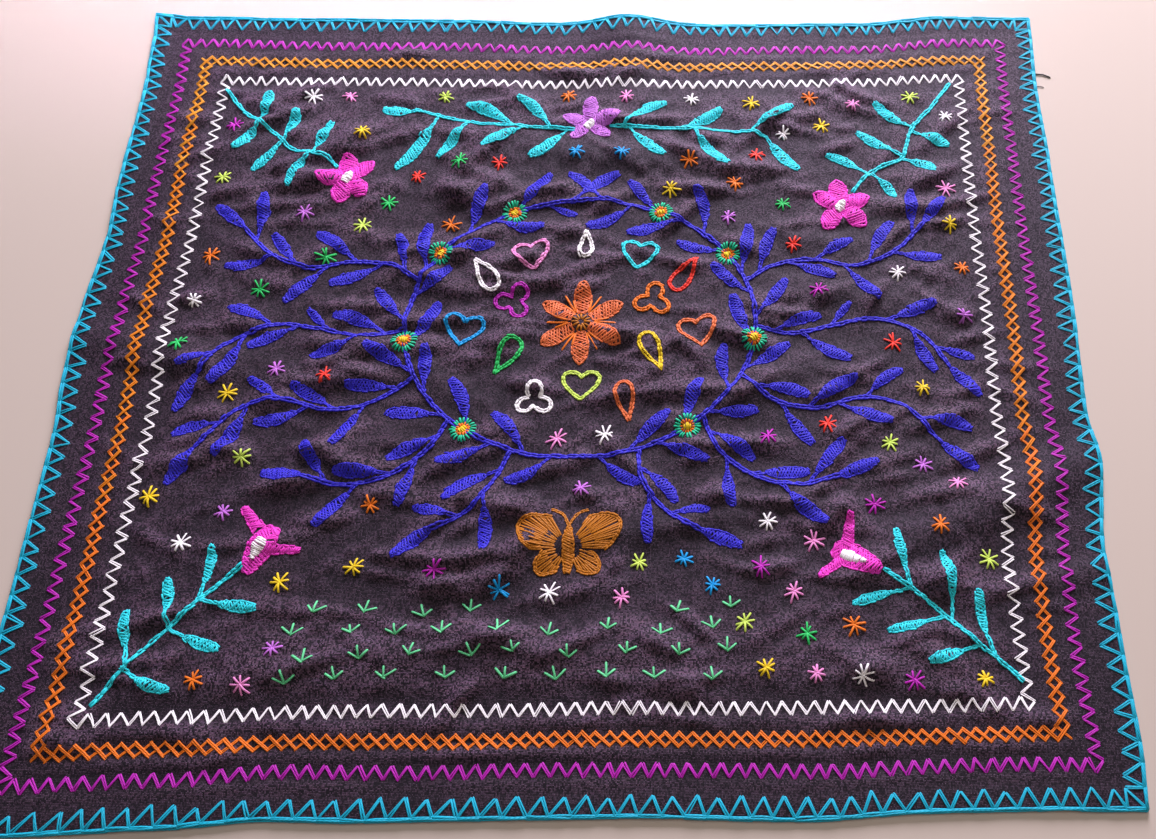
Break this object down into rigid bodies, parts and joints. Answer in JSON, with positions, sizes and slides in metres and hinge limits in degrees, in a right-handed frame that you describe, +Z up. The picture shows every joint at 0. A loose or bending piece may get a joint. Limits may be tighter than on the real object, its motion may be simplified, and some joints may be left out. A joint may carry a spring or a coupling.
{
  "type": "embroidered cloth",
  "caption": "Flat rectangular black cotton cloth with a turned hem, uneven edges and soft folds, lying on a floor, embroidered by hand in bright thread.",
  "frame": {"origin": "middle of the outline, on the surface that the cloth lies on", "axes": "+X along the longer side, to the right as pictured; +Y away from the viewer; +Z up, out of the embroidered side"},
  "size_m": [0.7256, 0.6254, 0.0089],
  "materials": {
    "black_cotton": "matte plain weave"
  },
  "bodies": {
    "root": {"cloth": "black_cotton"}
  },
  "joints": []
}
